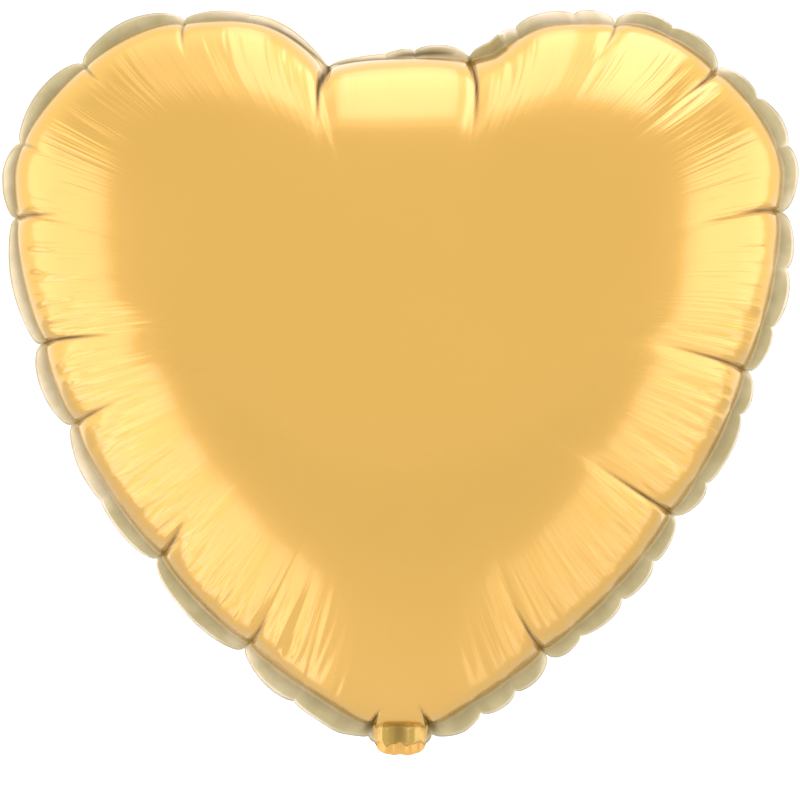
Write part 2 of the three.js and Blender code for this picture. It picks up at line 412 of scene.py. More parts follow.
def drawn_in(heart, puckers):
    """How strongly the long puckers draw each point in, and the painted shade of the dark line along the
    bottom of their creases.
    """
    pull = np.zeros_like(heart["away"])
    deep = np.zeros_like(heart["away"])
    inset = heart["inset"]
    start = 0.3 + 0.7 * (1 - np.exp(-heart["away"] / 6))
    for place, length, strength, lean in puckers:
        across = np.abs(along_seam(heart, place)[None] * heart["ratio"] + lean * inset)
        reach = np.maximum(0, 1 - inset / length)
        crease = 0.65 * np.exp(-across / (CREASE_WIDTH + CREASE_SPREAD * inset))
        valley = 0.2 * np.exp(-((across / VALLEY_WIDTH) ** 2))
        pull += strength * reach**1.2 * start * (crease + valley)
        # Painted shade: a dark line along the bottom of each crease, for the shadow deep in the fold.
        line = np.exp(-((across / DARK_LINE) ** 2)) * np.clip(2.6 * reach - 1.0, 0, 1)
        deep = np.maximum(deep, strength * line)
    for place, half, middle, width, depth in heart["slits"]:
        pull += 0.5 * slit_line(heart, place, half, depth) * np.exp(-(((inset - middle) / width) ** 2))
    return pull, deep


def slit_line(heart, place, half, depth):
    """How deep a fold that runs along the seam is at each sector."""
    return depth * np.sqrt(np.maximum(0, 1 - (along_seam(heart, place) / half) ** 2))


def wrinkles(heart, rng, count, widths, lengths, height):
    """Ridges and furrows square to the seam, most of them beside the long puckers."""
    field = np.zeros_like(heart["away"])
    places = [pucker[0] for pucker in heart["puckers"]]
    for i in range(count):
        place = rng.uniform(0, heart["seam_length"])
        if i % 2:
            place = rng.choice(places) + rng.normal() * 22
        width = rng.uniform(*widths)
        length = rng.uniform(*lengths)
        start = rng.uniform(4, 34)
        lean = rng.uniform(-0.06, 0.06)
        rise = rng.normal() * height
        place %= heart["seam_length"]
        from_tip = min(place, heart["seam_length"] - place)
        lobe = 0.75 * ramp(from_tip, 320, 380) + 0.2 * ramp(from_tip, 560, 590)
        busy = ramp(from_tip, 20, 90) * (1 - lobe)
        from_place = along_seam(heart, place)
        near = np.abs(from_place) < 5 * width + 12
        away = heart["away"][:, near]
        across = (from_place[near][None] * heart["ratio"][:, near] + lean * away) / width
        run = ramp(away, start, start + 22) * (1 - ramp(away, start + 18, start + length))
        field[:, near] += busy * rise * run * np.exp(-across * across)
    return field


def measure_heart(sizes, rng):
    """What both foils share: the smooth dome, the seam's places and the margin's slow wave."""
    base, away, normals, outline, inward = dome(sizes["half_depth"], sizes["seam"])
    seam, seam_length = seam_places(outline)
    wide = np.linalg.norm(np.roll(base, -1, 1) - base, axis=2)
    right = [(place, reach, depth, -lean) for place, reach, depth, lean in RIGHT_PUCKERS]
    left = [(seam_length - place, *rest) for place, *rest in LEFT_PUCKERS]
    slits = [*RIGHT_SLITS, *((seam_length - place, *rest) for place, *rest in LEFT_SLITS)]
    heart = {
        "base": base,
        "away": away,
        "inset": np.linalg.norm((base - base[:1])[..., ::2], axis=2),
        "normals": normals,
        "outline": outline,
        "shown": margin_shown(outline),
        "inward": inward,
        "seam": seam,
        "seam_length": seam_length,
        "ratio": wide / wide[:1],
        "puckers": sorted([*right, *left]),
        "slits": slits,
    }
    gathers = [p[0] for p in heart["puckers"] if NECK_WIDTH < p[0] < seam_length - NECK_WIDTH]
    heart["share"] = shares_between(heart, gathers)
    dividers = [p[0] for p in heart["puckers"] if p[1] > LONG_PUCKER]
    heart["pillow_share"] = shares_between(heart, dividers)
    heart["short_share"] = shares_between(heart, short_puckers(heart, rng))
    heart["wave"] = smooth_ring(rng.normal(size=SECTORS), 9) * 7
    heart["from_tip"] = np.abs(along_seam(heart, 0))
    heart["neck"] = 1 - ramp(heart["from_tip"], *NECK_SPAN)
    heart["right"] = np.where(seam < seam_length / 2, 1.0, 0.5)
    return heart


def relief(sizes, heart, rng, own_lengths):
    """The panel's relief: what each kind of pucker and wrinkle adds, from -1 to 1, and the shade."""
    away = heart["away"]
    puckers = [
        (place, length * (rng.uniform(0.7, 1.4) if own_lengths else 1), strength, lean)
        for place, length, strength, lean in heart["puckers"]
    ]
    start = 0.3 + 0.7 * (1 - np.exp(-away / 6))
    pull, deep = drawn_in(heart, puckers)
    large = hump(heart["pillow_share"]) - MEAN_ARC
    small = heart["right"] * (hump(heart["short_share"]) - MEAN_ARC)
    parts = {
        "pillow": start * large[None] * np.exp(-((away / PILLOW_REACH) ** 2)),
        "scallop": start * small[None] * np.exp(-((away / SCALLOP_REACH) ** 2)),
        "pucker": -pull,
    }
    quiet = 1 - heart["neck"][None] * np.exp(-away / 8)
    parts = {key: part * quiet for key, part in parts.items()}
    folds = wrinkles(heart, rng, SOFT_FOLDS, (3.5, 7), (40, 90), sizes["fold"] / sizes["wrinkle"])
    lines = wrinkles(heart, rng, FINE_WRINKLES, (1.2, 2.8), (30, 85), 1.0)
    parts["wrinkle"] = (folds + lines) * ramp(away, 10, 42)
    return parts, deep * quiet


def neck_bulge(x, half):
    """How far the gathered neck stands out of the seam plane: soft folds on a round belly."""
    share = x / half
    belly = 2.2 * np.sqrt(np.maximum(0, 1 - share**2))
    for middle, width, rise in NECK_FOLDS:
        belly = belly + rise * np.exp(-(((share - middle) / width) ** 2))
    return 0.6 + belly


def neck_drape(x):
    """How far the lower edge of the neck rises and dips across its width."""
    return 0.9 * np.cos(0.62 * x + 0.8) + 0.5 * np.cos(1.31 * x)


def margin_width(heart):
    """Width of the margin at each sector, as a share of the way from the weld to the outline."""
    full = hump(heart["share"])
    small = 1 - (0.1 + 0.26 * heart["right"]) * (1 - hump(heart["short_share"]))
    width = (NARROW + (WIDE - NARROW) * full) * small * (1.0 + 0.04 * heart["wave"])
    start, end, more = TIP_FRILL
    frill = ramp(heart["from_tip"], *start) * (1 - ramp(heart["from_tip"], *end))
    width = np.clip(width, 0.12, 1.25) * (1 + more * frill)
    return width * (1 - heart["neck"]) + 1.1 * heart["neck"]


def margin_rows(sizes, heart, weld, steps):
    """The margin's rows, from the cut edge to the weld, and how far each point curls to the front.

    steps is how far out each row is, from 1 down to the row next to the weld.
    """
    neck = heart["neck"][None]
    out = (heart["outline"] - weld[:, ::2]) * margin_width(heart)[:, None]
    rows = np.repeat(weld[None], MARGIN_RINGS, 0)
    rows[..., :2] *= (1 - 0.1 * steps * neck)[..., None]
    rows[..., 0] += out[:, 0] * steps
    rows[..., 2] += out[:, 1] * steps
    shown = np.minimum(heart["shown"], 1)
    back = 0.8 * sizes["seam"] * np.sqrt(np.maximum(0, 1 - shown**2))
    wave = 0.6 * heart["wave"] - 1.4 * (hump(heart["share"]) - MEAN_ARC)
    return rows, (wave * steps**1.5 + back * steps) * (1 - neck)


def foil_shade(heart, deep, steps, grid, inset, in_from_weld):
    """How much painted shade each point of a foil has, from 0 to 1: in creases, slits, folds, along the
    weld and at the neck.
    """
    neck = heart["neck"][None]
    shade = deep
    # Painted shade along the weld, where the bulging panel leaves the margin beside it in shadow.
    weld_shade = (0.3 + 0.6 * (1 - np.minimum(heart["shown"], 1))) * (1 - heart["neck"])
    fading = weld_shade * np.clip(1.15 - 1.5 * steps, 0, 1)
    shade[:MARGIN_RINGS] = np.maximum(shade[:MARGIN_RINGS] * (1 - steps), fading)
    shade[MARGIN_RINGS] = np.maximum(shade[MARGIN_RINGS], weld_shade)

    # Painted shade of the folds beside the neck.
    place, half, depth = CORNER
    corner_shade = np.exp(-(((heart["from_tip"] - place) / half) ** 2) - (in_from_weld / 6) ** 2)
    shade = np.maximum(shade, depth * corner_shade)
    # Painted shade along the slits, which also lie as shallow furrows in the relief.
    for place, half, middle, width, depth in heart["slits"]:
        line = slit_line(heart, place, half, depth) * np.exp(-(((inset - middle) / width) ** 2))
        shade = np.maximum(shade, line)
    # Painted shade in the fold in the middle of the neck.
    gather_shade = np.exp(-(((grid[..., 0] + 1) / GATHER_WIDTH) ** 2)) * ramp(-grid[..., 2], -13, -8)
    return np.maximum(shade, 0.54 * gather_shade * neck)


def foil_grid(sizes, heart, rng, side):
    """One foil, from the margin's cut edge to the middle. side is -1 in front and 1 behind.

    Returns its points, its film coordinates, the directions of its relief, and its shade.
    """
    parts, deep = relief(sizes, heart, rng, own_lengths=side > 0)
    neck = heart["neck"][None]
    normals = heart["normals"].copy()
    normals[0, :, 1] = 0
    points = heart["base"].copy()
    points[0, :, 1] = 0
    points[..., 1] -= neck_bulge(points[..., 0], NECK_HALF) * neck * np.exp(-heart["away"] / 10)
    weld = points[0].copy()
    steps = np.arange(MARGIN_RINGS, 0, -1)[:, None] / MARGIN_RINGS
    margin, curl = margin_rows(sizes, heart, weld, steps)
    gap = 1.2 * sizes["film"]
    if side > 0:
        points[..., 1] *= -1
        normals[..., 1] *= -1
        margin[..., 1] *= -1
    margin[..., 1] += curl + side * gap
    points[..., 1] += side * gap
    grid = np.concatenate([margin, points])

    def with_margin(values):
        return np.concatenate([np.repeat(values[:1], MARGIN_RINGS, 0), values])

    moves = {key: with_margin(part[..., None] * normals) for key, part in parts.items()}
    outside = -np.linalg.norm(margin - points[:1], axis=2)
    inset = np.concatenate([outside, heart["inset"]])
    in_from_weld = np.concatenate([-(1 - neck) * steps * sizes["seam"], heart["away"]]) + 2 * neck
    shade = foil_shade(heart, with_margin(deep), steps, grid, inset, in_from_weld)
    grid[..., 2] += neck_drape(grid[..., 0]) * neck * ramp(-grid[..., 2], -9, -5)
    film = np.stack([np.broadcast_to(heart["seam"], in_from_weld.shape), in_from_weld], -1)
    far_end = film[:, :1] + [heart["seam_length"], 0]
    return grid, np.concatenate([film, far_end], 1), moves, shade


# ---- Node trees ----


class Number:
    """A socket that holds a number. Python's operators on it add Math nodes."""

    def __init__(self, tree, socket):
        self.tree = tree
        self.socket = socket

    def _maths(self, operation, first, second):
        node = self.tree.node("ShaderNodeMath", {"operation": operation}, {0: first, 1: second})
        return Number(self.tree, node.outputs[0])

    def __add__(self, other):
        return self._maths("ADD", self, other)

    def __radd__(self, other):
        return self._maths("ADD", other, self)

    def __sub__(self, other):
        return self._maths("SUBTRACT", self, other)

    def __rsub__(self, other):
        return self._maths("SUBTRACT", other, self)

    def __mul__(self, other):
        return self._maths("MULTIPLY", self, other)

    def __rmul__(self, other):
        return self._maths("MULTIPLY", other, self)


class Tree:
    """A node tree, with short ways to add nodes to it."""

    def __init__(self, tree):
        self.tree = tree

    def put(self, socket, value):
        """Links a value to a socket, or sets it."""
        if isinstance(value, Number):
            value = value.socket
        if isinstance(value, bpy.types.NodeSocket):
            self.tree.links.new(value, socket)
        else:
            socket.default_value = value

    def node(self, kind, settings=None, inputs=None):
        """Any node, with its settings made before its sockets are filled."""
        node = self.tree.nodes.new(kind)
        for key, value in (settings or {}).items():
            setattr(node, key, value)
        for key, value in (inputs or {}).items():
            self.put(node.inputs[key], value)
        return node

    def number(self, node, output=0):
        return Number(self, node.outputs[output])

    def ramp(self, value, low, high, first=0.0, last=1.0):
        """A smooth step from first to last while value goes from low to high."""
        settings = {"interpolation_type": "SMOOTHSTEP"}
        inputs = {"Value": value, "From Min": low, "From Max": high, "To Min": first, "To Max": last}
        return self.number(self.node("ShaderNodeMapRange", settings, inputs))


# ---- Meshes ----


def new_object(name, data):
    """A new object for a mesh, a light or a camera, linked to the scene."""
    made = bpy.data.objects.new(name, data)
    bpy.context.scene.collection.objects.link(made)
    return made


def grid_mesh(name, grid, film, shade, flip, pole=None):
    """A mesh from rows of points in millimetres, with film coordinates in decimetres as its UV map.

    A closed grid has one column fewer than its film coordinates, and a pole if its middle is closed.
    """
    rows, columns = grid.shape[:2]
    k = np.arange(film.shape[1] - 1)
    i = np.arange(rows - 1)[:, None]
    corners = ((i, k), (i, k + 1), (i + 1, k + 1), (i + 1, k))
    faces = np.stack([row * columns + column % columns for row, column in corners], -1)
    places = np.stack([film[row, column] for row, column in corners], 2).reshape(-1, 4, 2)
    faces, points, shades = faces.reshape(-1, 4), grid.reshape(-1, 3), shade.ravel()
    order = [3, 2, 1, 0] if flip else [0, 1, 2, 3]
    lists, places = faces[:, order].tolist(), places[:, order].reshape(-1, 2)
    if pole is not None:
        points = np.vstack([points, pole])
        shades = np.append(shades, 0)
        top = (rows - 1) * columns
        ring = np.stack([top + k, top + (k + 1) % columns, np.full(len(k), len(points) - 1)], 1)
        rim = np.stack([film[-1, :-1], film[-1, 1:], film[-1, 1:]], 1)
        order = [2, 1, 0] if flip else [0, 1, 2]
        lists += ring[:, order].tolist()
        places = np.vstack([places, rim[:, order].reshape(-1, 2)])
    mesh = bpy.data.meshes.new(name)
    mesh.from_pydata((points * MM).tolist(), [], lists)
    mesh.uv_layers.new(name="film").data.foreach_set("uv", (places / 100).astype(np.float32).ravel())
    mesh.attributes.new("shade", "FLOAT", "POINT").data.foreach_set("value", shades.astype(np.float32))
    mesh.polygons.foreach_set("use_smooth", np.ones(len(mesh.polygons), bool))
    mesh.update()
    return mesh


def with_modifiers(piece):
    """The piece with its modifiers made part of a plain mesh."""
    graph = bpy.context.evaluated_depsgraph_get()
    mesh = bpy.data.meshes.new_from_object(piece.evaluated_get(graph))
    piece.modifiers.clear()
    old, piece.data = piece.data, mesh
    bpy.data.meshes.remove(old)
    return piece


def add_wall(piece, thickness):
    """Adds a closed film's thickness, inwards from the outer face."""
    wall = piece.modifiers.new("wall", "SOLIDIFY")
    wall.thickness = thickness
    wall.offset = -1
    wall.use_rim = True


def relief_tree(names):
    """A node tree that moves a foil by each named relief, times that relief's height."""
    group = bpy.data.node_groups.new("foil_relief", "GeometryNodeTree")
    group.interface.new_socket("Geometry", in_out="INPUT", socket_type="NodeSocketGeometry")
    group.interface.new_socket("Foil", in_out="INPUT", socket_type="NodeSocketMaterial")
    for name in names:
        socket = group.interface.new_socket(f"{name} height", in_out="INPUT", socket_type="NodeSocketFloat")
        socket.subtype = "DISTANCE"
    group.interface.new_socket("Geometry", in_out="OUTPUT", socket_type="NodeSocketGeometry")

    tree = Tree(group)
    start = tree.node("NodeGroupInput")
    geometry = start.outputs["Geometry"]
    for name in names:
        field = tree.node("GeometryNodeInputNamedAttribute", {"data_type": "FLOAT_VECTOR"}, {"Name": name})
        inputs = {0: field.outputs["Attribute"], "Scale": start.outputs[f"{name} height"]}
        move = tree.node("ShaderNodeVectorMath", {"operation": "SCALE"}, inputs)
        inputs = {"Geometry": geometry, "Offset": move.outputs[0]}
        geometry = tree.node("GeometryNodeSetPosition", None, inputs).outputs["Geometry"]
    real = tree.node("GeometryNodeRealizeInstances", None, {"Geometry": geometry})
    inputs = {"Geometry": real.outputs["Geometry"], "Material": start.outputs["Foil"]}
    painted = tree.node("GeometryNodeSetMaterial", None, inputs)
    tree.node("NodeGroupOutput", None, {"Geometry": painted.outputs["Geometry"]})
    return group


def add_relief(piece, tree, moves, heights, material):
    """Gives a foil its relief's directions as attributes, and the tree that moves it by them."""
    for name, move in moves.items():
        vectors = np.vstack([move.reshape(-1, 3), [[0, 0, 0]]]).astype(np.float32)
        attribute = piece.data.attributes.new(name, "FLOAT_VECTOR", "POINT")
        attribute.data.foreach_set("vector", vectors.ravel())
    modifier = piece.modifiers.new("relief", "NODES")
    modifier.node_group = tree
    values = {f"{name} height": height for name, height in heights.items()}
    values["Foil"] = material
    for socket in tree.interface.items_tree:
        if socket.in_out == "INPUT" and socket.name in values:
            modifier[socket.identifier] = values[socket.name]


# ---- Materials ----

# Where the foil changes, in decimetres in from the weld, or along the seam from the tip
RIM = (-0.085, -0.066)
WELD = (-0.012, 0.002)
# where the painted shade beside the seam fades from full to none, inwards
SEAM_SHADE = (0.06, 0.26)
STREAKS = ((0.15, 0.4), (0.6, 1.05))  # where streaks begin and end, inwards
TIP_CLEAR = ((0.2, 1.2), (11.1, 12.1))  # where they begin and end, along the seam
LOBES = ((4.3, 5.3), (7.0, 8.0))  # and where they are faint


class Shader(Tree):
    """A new material's node tree."""

    def __init__(self, name):
        self.material = bpy.data.materials.new(name)
        self.material.use_nodes = True
        super().__init__(self.material.node_tree)
        self.surface = self.tree.nodes["Principled BSDF"]

    def noise(self, vector, scale, detail=2.0, roughness=0.5):
        inputs = {"Vector": vector, "Scale": scale, "Detail": detail, "Roughness": roughness}
        return self.number(self.node("ShaderNodeTexNoise", None, inputs))

    def mix(self, share, first, second):
        """A colour between two colours."""
        mixer = self.node("ShaderNodeMix", {"data_type": "RGBA"})
        self.put(mixer.inputs["Factor"], share)
        self.put(mixer.inputs[6], first)
        self.put(mixer.inputs[7], second)
        return mixer.outputs[2]

    def vector(self, x, y, z=0.0):
        return self.node("ShaderNodeCombineXYZ", None, {0: x, 1: y, 2: z}).outputs[0]

    def film(self):
        """The film coordinates: along the seam, and in from the weld, in decimetres."""
        place = self.node("ShaderNodeUVMap", {"uv_map": "film"})
        parts = self.node("ShaderNodeSeparateXYZ", None, {0: place.outputs[0]})
        return self.number(parts, 0), self.number(parts, 1)

    def shade(self):
        """How much painted shade the place has, from 0 to 1: in creases, slits, folds, along the weld and
        at the neck.
        """
        node = self.node("ShaderNodeAttribute", {"attribute_name": "shade"})
        return self.number(node, "Fac")

    def object_place(self):
        return self.node("ShaderNodeTexCoord").outputs["Object"]

    def bump(self, height, distance):
        inputs = {"Height": height, "Distance": distance, "Strength": 1.0}
        return self.node("ShaderNodeBump", None, inputs).outputs[0]


def foil_material(colours):
    """Gold metallised film under a clear lacquer, duller and paler where it is welded, with painted shade
    beside the seam and in creases, slits and folds.
    """
    shader = Shader("gold_foil")
    surface = shader.surface
    along, away = shader.film()
    place = shader.object_place()
    margin = shader.ramp(away, *WELD, 1.0, 0.0)
    rim = shader.ramp(away, *RIM, 1.0, 0.0)

    cloud = shader.noise(place, 9.0, 3.0)
    foil = shader.mix(shader.ramp(cloud, 0.35, 0.65), colours["foil"], colours["foil_deep"])
    # Painted shade: the foil turns darker and olive near the weld, for the shadow and dark reflections of
    # the steep, crinkled film beside the seam.
    beside = 0.6 * shader.ramp(away, *SEAM_SHADE, 1.0, 0.0)
    foil = shader.mix(beside, foil, colours["beside_seam"])
    mottle = shader.noise(shader.vector(along * 9, away * 9), 1.0, 3.0)
    welded = shader.mix(shader.ramp(mottle, 0.3, 0.7), colours["margin"], colours["margin_deep"])
    welded = shader.mix(rim * 0.6, welded, colours["rim"])
    colour = shader.mix(margin, foil, welded)
    # Painted shade: the shade attribute mixes in the dark crease colour and takes away metal, lacquer and
    # gloss where creases, slits, folds and the weld lie in shadow.
    shader.put(surface.inputs["Base Color"], shader.mix(shader.shade(), colour, colours["crease"]))
    shader.put(surface.inputs["Metallic"], 1.0 - 0.7 * shader.shade())
    surface.inputs["Specular Tint"].default_value = colours["glancing"]
    grain = shader.noise(place, 260.0, 3.0)
    roughness = colours["roughness"] + 0.06 * (grain - 0.5) + 0.12 * margin + 0.4 * shader.shade()
    shader.put(surface.inputs["Roughness"], roughness)
    shader.put(surface.inputs["Coat Weight"], colours["lacquer"] * (1.0 - shader.shade()))
    surface.inputs["Coat Roughness"].default_value = 0.12

    lines = shader.noise(shader.vector(along * 38, away * 1.2), 1.0, 1.5, 0.5)
    band = shader.ramp(away, *STREAKS[0]) * shader.ramp(away, *STREAKS[1], 1.0, 0.0)
    band = band * shader.ramp(along, *TIP_CLEAR[0]) * shader.ramp(along, *TIP_CLEAR[1], 1.0, 0.0)
    band = band * (shader.ramp(along, *LOBES[0], 1.0, 0.25) + shader.ramp(along, *LOBES[1], 0.0, 0.75))
    peel = shader.noise(place, 520.0, 2.0)
    weave = shader.noise(shader.vector(along * 70, away * 70), 1.0, 1.0)
    height = 0.55 * lines * band + 0.012 * peel + 0.05 * weave * margin
    shader.put(surface.inputs["Normal"], shader.bump(height, MM))
    return shader.material


def film_material(colours):
    """Clear polyethylene film, slightly milky."""
    shader = Shader("clear_film")
    surface = shader.surface
    place = shader.object_place()
    haze = shader.noise(place, 120.0, 3.0)
    shader.put(surface.inputs["Base Color"], shader.mix(haze, colours["valve"], colours["valve_deep"]))
    shader.put(surface.inputs["Roughness"], 0.22 + 0.2 * haze)
    shader.put(surface.inputs["Alpha"], 0.45 + 0.25 * haze)
    surface.inputs["Specular IOR Level"].default_value = 0.5
    height = 0.03 * shader.noise(place, 300.0, 2.0)
    shader.put(surface.inputs["Normal"], shader.bump(height, MM))
    return shader.material


def plain_material(name, colour, roughness):
    """A matt surface with a faint mottle, for the floor."""
    shader = Shader(name)
    mottle = shader.noise(shader.object_place(), 3.0, 4.0)
    darker = tuple(c * 0.97 for c in colour[:3]) + (1,)
    shader.put(shader.surface.inputs["Base Color"], shader.mix(mottle, colour, darker))
    shader.put(shader.surface.inputs["Roughness"], roughness)
    return shader.material


# ---- The tail and the valve, which cross the fold ----


def tail_path(fold, angle, top, length, count):
    """The middle line of the tail at rest, from the neck down, round the fold and up behind.

    Returns its points and its outward directions, in the YZ plane, and the distance along it.
    fold is the fold's axis as (y, z).
    """
    radius = fold[0]
    straight = top - fold[1]
    turn = radius * angle
    along = np.concatenate([
        np.linspace(0, straight, 9)[:-1],
        straight + np.linspace(0, turn, 15)[:-1],
        straight + turn + np.linspace(0, length, count),
    ])
    bend = np.clip((along - straight) / radius, 0, angle)
    y = fold[0] - radius * np.cos(bend)
    z = fold[1] - radius * np.sin(bend)
    before, after = np.maximum(straight - along, 0), np.maximum(along - straight - turn, 0)
    y += after * np.sin(angle)
    z += before - after * np.cos(angle)
    outward = np.stack([-np.cos(bend), -np.sin(bend)], 1)
    return np.stack([y, z], 1), outward, along


def gathered(along, straight, width, full_width):
    """Half the width of the tail along its length: drawn together at the fold, then free again."""
    past = along - straight
    neck = NECK_WIDTH + (THROAT_WIDTH - NECK_WIDTH) * ramp(along, 2, straight)
    free = ramp(past, 3, 30)
    flare = TAIL_FLARE * np.maximum(past, 0) / past.max()
    return (neck * (1 - free) + (full_width + flare) * free) / 2 * width / full_width


def strip_grid(path, outward, along, straight, half_widths, lift):
    """A strip of film along a path: lift(x, along) is how far it stands out of the middle line."""
    share = np.sin(np.linspace(-1, 1, STRIP_COLUMNS) * math.pi / 2)
    x = half_widths[:, None] * share
    out = lift(x, along[:, None])
    grid = np.empty((len(along), STRIP_COLUMNS, 3))
    grid[..., 0] = x
    grid[..., 1] = path[:, None, 0] + outward[:, None, 0] * out
    grid[..., 2] = path[:, None, 1] + outward[:, None, 1] * out
    near_fold = np.exp(-(((along - straight - 2) / 6) ** 2))[:, None]
    grid[..., 2] += 2.8 * np.abs(share) ** 4 * near_fold
    film = np.stack([x + half_widths.max(), np.broadcast_to(along[:, None], x.shape)], -1)
    return grid, film


def tail_lift(sizes, rng, straight):
    """Shape of a tail ply across its width and along its length."""
    waves = rng.uniform(0, 2 * math.pi, 4)

    def lift(x, along):
        past = along - straight
        width = np.abs(x).max(axis=1, keepdims=True)
        inside = np.sqrt(np.clip(1 - (x / width) ** 2, 0, 1))
        folds = (neck_bulge(x, width) - 0.5) * (1 - ramp(past, -4, 5)) * (0.85 + 0.2 * ramp(along, 9, 12))
        free = ramp(past, 8, 30)
        crumple = 0.7 * np.cos(x * 0.95 + waves[0]) * np.exp(-np.maximum(past, 0) / 16) * ramp(past, 0, 6)
        crumple = crumple + 0.15 * np.sin(along * 0.42 + waves[1]) * np.sin(x * 0.31 + waves[2]) * free
        flat = (0.5 + 1.6 * ramp(past, 25, 78)) * inside * ramp(past, 0, 6)
        return sizes["film"] + folds * inside + np.maximum(flat + crumple * inside, 0.0)

    return lift


def valve_lift(rng):
    """The valve's films lie flat against each other inside the tail."""
    waves = rng.uniform(0, 2 * math.pi, 2)

    def lift(x, along):
        return 0.22 + 0.01 * np.sin(along * 0.25 + waves[0]) * np.cos(x * 0.2 + waves[1])

    return lift


def make_strips(strips, material, film, widths, top, length, lift):
    """Two plies of film along the tail, shaped round the fold.

    strips gives each ply's name, its side and the nodes that it stands for, and widths its own
    width and the whole tail's.
    """
    fold = (FOLD["pos_m"][1] / MM, FOLD["pos_m"][2] / MM)
    angle = math.radians(FOLD["range_deg"][1])
    path, outward, along = tail_path(fold, angle, top, length, 40)
    straight = top - fold[1]
    half_widths = gathered(along, straight, *widths)
    for name, side, *nodes in strips:
        def ply_lift(x, distance, side=side):
            return side * lift(x, distance)

        grid, places = strip_grid(path, outward, along, straight, half_widths, ply_lift)
        # Painted shade down the middle of the tail at the neck, for the shadow in its middle fold.
        valley = np.exp(-((grid[..., 0] / 4.2) ** 2)) * (1 - ramp(along - straight, -2, 1.5))[:, None]
        mesh = grid_mesh(name, grid, places, 0.6 * valley, flip=side > 0)
        mesh.materials.append(material)
        piece = new_object(name, mesh)
        add_wall(piece, film * MM)
        with_modifiers(piece)
        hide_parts(*nodes)
        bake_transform(piece)


# ---- Settings that a user would change ----

FRONT_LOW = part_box("front_panel")[0]


def length_setting(name, description, default):
    """A length that a user can change, in metres."""
    return bpy.props.FloatProperty(name=name, description=description, default=default, unit="LENGTH")


class BalloonSizes(bpy.types.PropertyGroup):
    """Sizes of the balloon."""

    half_depth: length_setting(
        "Half depth", "How far the middle of a panel stands from the seam", -FRONT_LOW[1] - 0.0008
    )
    seam: length_setting("Seam margin", "Width of the welded margin outside the panels", 0.0085)
    film: length_setting("Film", "Thickness of the foil", 0.00012)
    pucker: length_setting("Pucker depth", "How deep the long puckers are", 0.0038)
    pillow: length_setting("Pillow height", "How far the film swells between two puckers", 0.0028)
    scallop: length_setting("Scallop height", "Height of the small scallops along the seam", 0.0016)
    fold: length_setting("Fold height", "Height of the soft folds", 0.0006)
    wrinkle: length_setting("Wrinkle height", "Height of the fine wrinkles", 0.00032)
    tail_width: length_setting("Tail width", "Width at the neck", 0.032)
    tail_length: length_setting("Tail length", "Length past the fold", 0.078)


def colour_setting(name, description, default):
    """A colour that a user can change."""
    return bpy.props.FloatVectorProperty(
        name=name, description=description, default=default, size=4, min=0, max=1, subtype="COLOR"
    )


class BalloonColours(bpy.types.PropertyGroup):
    """Colours and lighting."""

    foil: colour_setting("Foil", "Gold foil", (0.81, 0.468, 0.092, 1))
    foil_deep: colour_setting("Deep foil", "Gold foil under thicker lacquer", (0.795, 0.456, 0.087, 1))
    # Painted shade beside the weld, mixed into the foil near the seam.
    beside_seam: colour_setting("Beside the seam", "Gold foil next to the weld", (0.52, 0.37, 0.075, 1))
    glancing: colour_setting("Glancing foil", "Gold foil seen along its surface", (0.80, 0.63, 0.22, 1))
    margin: colour_setting("Seam", "Foil in the welded margin", (0.65, 0.54, 0.28, 1))
    margin_deep: colour_setting("Deep seam", "Margin where it is duller", (0.54, 0.44, 0.21, 1))
    rim: colour_setting("Rim", "Cut edge of the margin", (0.86, 0.78, 0.52, 1))
    # The crease colour is painted shade for the bottoms of creases, slits and folds.
    crease: colour_setting("Crease", "Bottom of a crease", (0.10, 0.06, 0.008, 1))
    valve: colour_setting("Valve", "Clear film", (0.82, 0.85, 0.85, 1))
    valve_deep: colour_setting("Milky valve", "Clear film where it is milky", (0.9, 0.92, 0.92, 1))
    floor: colour_setting("Floor", "Pale floor", (0.86, 0.86, 0.86, 1))
    box_colour: colour_setting("Soft boxes", "Light of the soft boxes", (0.64, 0.62, 1.0, 1))
    near_colour: colour_setting("Near boxes", "Light of the boxes over the notch", (0.56, 0.52, 1.0, 1))
    roughness: bpy.props.FloatProperty(
        name="Foil roughness", description="How satin the foil is", default=0.24, min=0, max=1
    )
    lacquer: bpy.props.FloatProperty(
        name="Lacquer", description="How much clear lacquer covers the foil", default=0.85, min=0, max=1
    )
    backdrop: bpy.props.FloatProperty(
        name="Backdrop", description="Brightness of the room behind the balloon", default=1.35, min=0
    )
    box_light: bpy.props.FloatProperty(
        name="Side light", description="Brightness of the soft boxes", default=1.6, min=0
    )


def sizes_in_mm():
    """The size settings in millimetres."""
    settings = bpy.context.scene.balloon_sizes
    return {key: getattr(settings, key) / MM for key in BalloonSizes.__annotations__}


def colours():
    """The colour settings as plain values."""
    settings = bpy.context.scene.balloon_colours
    values = {key: getattr(settings, key) for key in BalloonColours.__annotations__}
    return {key: tuple(v) if hasattr(v, "__len__") else v for key, v in values.items()}


# ---- Operators ----


